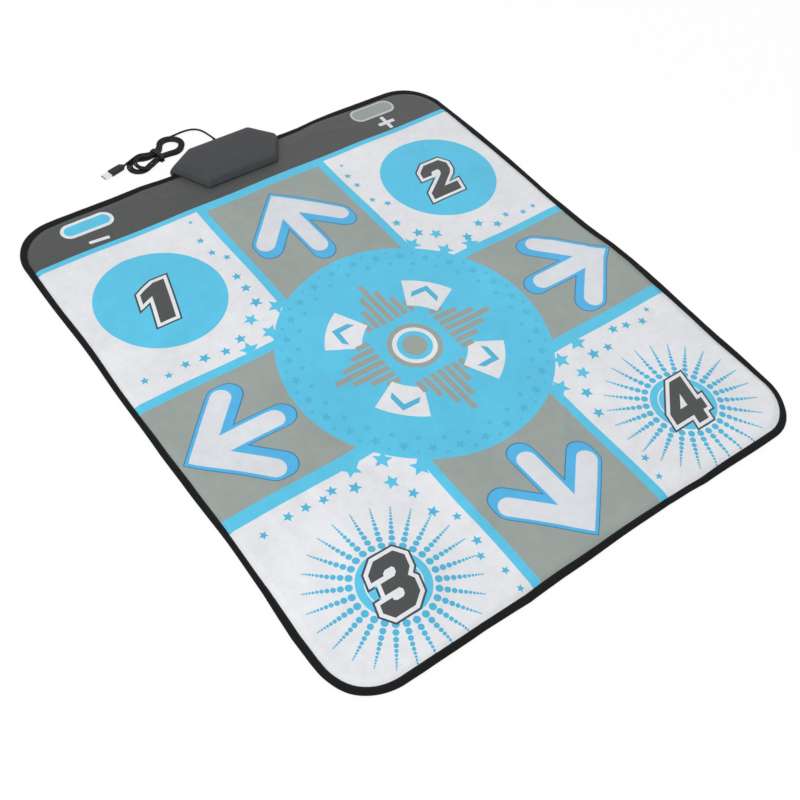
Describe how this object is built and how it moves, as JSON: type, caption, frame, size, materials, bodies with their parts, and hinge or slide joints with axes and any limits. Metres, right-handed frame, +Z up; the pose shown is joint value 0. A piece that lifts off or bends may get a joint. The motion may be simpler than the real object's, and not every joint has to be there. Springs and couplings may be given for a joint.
{
  "type": "electronic dance mat",
  "caption": "Soft foot-operated game controller mat with printed pressure keys, a control box at its rear edge and a hanked cable with a plug.",
  "frame": {"origin": "middle of the mat's flat underside, on the floor", "axes": "+Z up from the floor, +Y towards the edge with the control box, +X to the right of a player who faces the box"},
  "size_m": [0.8, 1.0215, 0.022],
  "materials": {
    "printed_cloth": "white coated cloth with a light-blue and grey print, faint weave, satin",
    "key_cloth_grey": "mid grey print on coated cloth, satin",
    "key_cloth_blue": "light-blue print on coated cloth, satin",
    "binding_tape": "black woven tape, matte",
    "anti_slip_cover": "black cloth with raised anti-slip dots, matte",
    "layer_foam": "closed-cell foam, matte",
    "contact_film": "clear film with printed tracks",
    "contact_ink": "carbon ink on film, matte",
    "box_plastic": "dark grey moulded plastic, fine matte texture",
    "screw_steel": "zinc-plated steel",
    "board_green": "green solder mask",
    "chip_black": "moulded epoxy, matte",
    "cable_jacket": "black soft vinyl, satin",
    "plug_steel": "nickel-plated steel, satin",
    "tongue_plastic": "white plastic"
  },
  "bodies": {
    "mat": {"bottom_cover": "anti_slip_cover", "lower_contact_film": "contact_film", "spacer_foam": "layer_foam", "upper_contact_film": "contact_film", "top_foam": "layer_foam", "top_cover": "printed_cloth", "edge_binding": "binding_tape", "box_top_shell": "box_plastic", "box_bottom_shell": "box_plastic", "clamp_plate": "box_plastic", "box_screw_1": "screw_steel", "box_screw_2": "screw_steel", "box_screw_3": "screw_steel", "box_screw_4": "screw_steel", "circuit_board": "board_green", "controller_chip": "chip_black", "clock_crystal": "plug_steel", "sensor_ribbon": "contact_film", "ribbon_clamp_bar": "box_plastic", "cable_grommet": "cable_jacket", "cord_lead": "cable_jacket", "cord_hank": "cable_jacket", "cord_tail": "cable_jacket", "hank_tie": "cable_jacket", "usb_overmould": "cable_jacket", "usb_shell": "plug_steel", "usb_tongue": "tongue_plastic"},
    "key_up": {"key_up_face": "key_cloth_grey", "key_up_foam": "layer_foam", "key_up_contact": "contact_ink"},
    "key_left": {"key_left_face": "key_cloth_grey", "key_left_foam": "layer_foam", "key_left_contact": "contact_ink"},
    "key_down": {"key_down_face": "key_cloth_grey", "key_down_foam": "layer_foam", "key_down_contact": "contact_ink"},
    "key_right": {"key_right_face": "key_cloth_grey", "key_right_foam": "layer_foam", "key_right_contact": "contact_ink"},
    "key_rear_left": {"key_rear_left_face": "key_cloth_blue", "key_rear_left_foam": "layer_foam", "key_rear_left_contact": "contact_ink"},
    "key_rear_right": {"key_rear_right_face": "key_cloth_blue", "key_rear_right_foam": "layer_foam", "key_rear_right_contact": "contact_ink"},
    "key_front_left": {"key_front_left_face": "printed_cloth", "key_front_left_foam": "layer_foam", "key_front_left_contact": "contact_ink"},
    "key_front_right": {"key_front_right_face": "printed_cloth", "key_front_right_foam": "layer_foam", "key_front_right_contact": "contact_ink"},
    "key_minus": {"key_minus_face": "key_cloth_blue", "key_minus_foam": "layer_foam", "key_minus_contact": "contact_ink"},
    "key_plus": {"key_plus_face": "key_cloth_grey", "key_plus_foam": "layer_foam", "key_plus_contact": "contact_ink"}
  },
  "joints": [
    {"name": "press_up", "type": "slide", "parent": "mat", "child": "key_up", "axis": [0, 0, -1], "range_m": [0, 0.0023], "stiffness_N_per_m": 8000, "springref_m": -0.0007},
    {"name": "press_left", "type": "slide", "parent": "mat", "child": "key_left", "axis": [0, 0, -1], "range_m": [0, 0.0023], "stiffness_N_per_m": 8000, "springref_m": -0.0007},
    {"name": "press_down", "type": "slide", "parent": "mat", "child": "key_down", "axis": [0, 0, -1], "range_m": [0, 0.0023], "stiffness_N_per_m": 8000, "springref_m": -0.0007},
    {"name": "press_right", "type": "slide", "parent": "mat", "child": "key_right", "axis": [0, 0, -1], "range_m": [0, 0.0023], "stiffness_N_per_m": 8000, "springref_m": -0.0007},
    {"name": "press_rear_left", "type": "slide", "parent": "mat", "child": "key_rear_left", "axis": [0, 0, -1], "range_m": [0, 0.0023], "stiffness_N_per_m": 8000, "springref_m": -0.0007},
    {"name": "press_rear_right", "type": "slide", "parent": "mat", "child": "key_rear_right", "axis": [0, 0, -1], "range_m": [0, 0.0023], "stiffness_N_per_m": 8000, "springref_m": -0.0007},
    {"name": "press_front_left", "type": "slide", "parent": "mat", "child": "key_front_left", "axis": [0, 0, -1], "range_m": [0, 0.0023], "stiffness_N_per_m": 8000, "springref_m": -0.0007},
    {"name": "press_front_right", "type": "slide", "parent": "mat", "child": "key_front_right", "axis": [0, 0, -1], "range_m": [0, 0.0023], "stiffness_N_per_m": 8000, "springref_m": -0.0007},
    {"name": "press_minus", "type": "slide", "parent": "mat", "child": "key_minus", "axis": [0, 0, -1], "range_m": [0, 0.0023], "stiffness_N_per_m": 4000, "springref_m": -0.0007},
    {"name": "press_plus", "type": "slide", "parent": "mat", "child": "key_plus", "axis": [0, 0, -1], "range_m": [0, 0.0023], "stiffness_N_per_m": 4000, "springref_m": -0.0007}
  ]
}
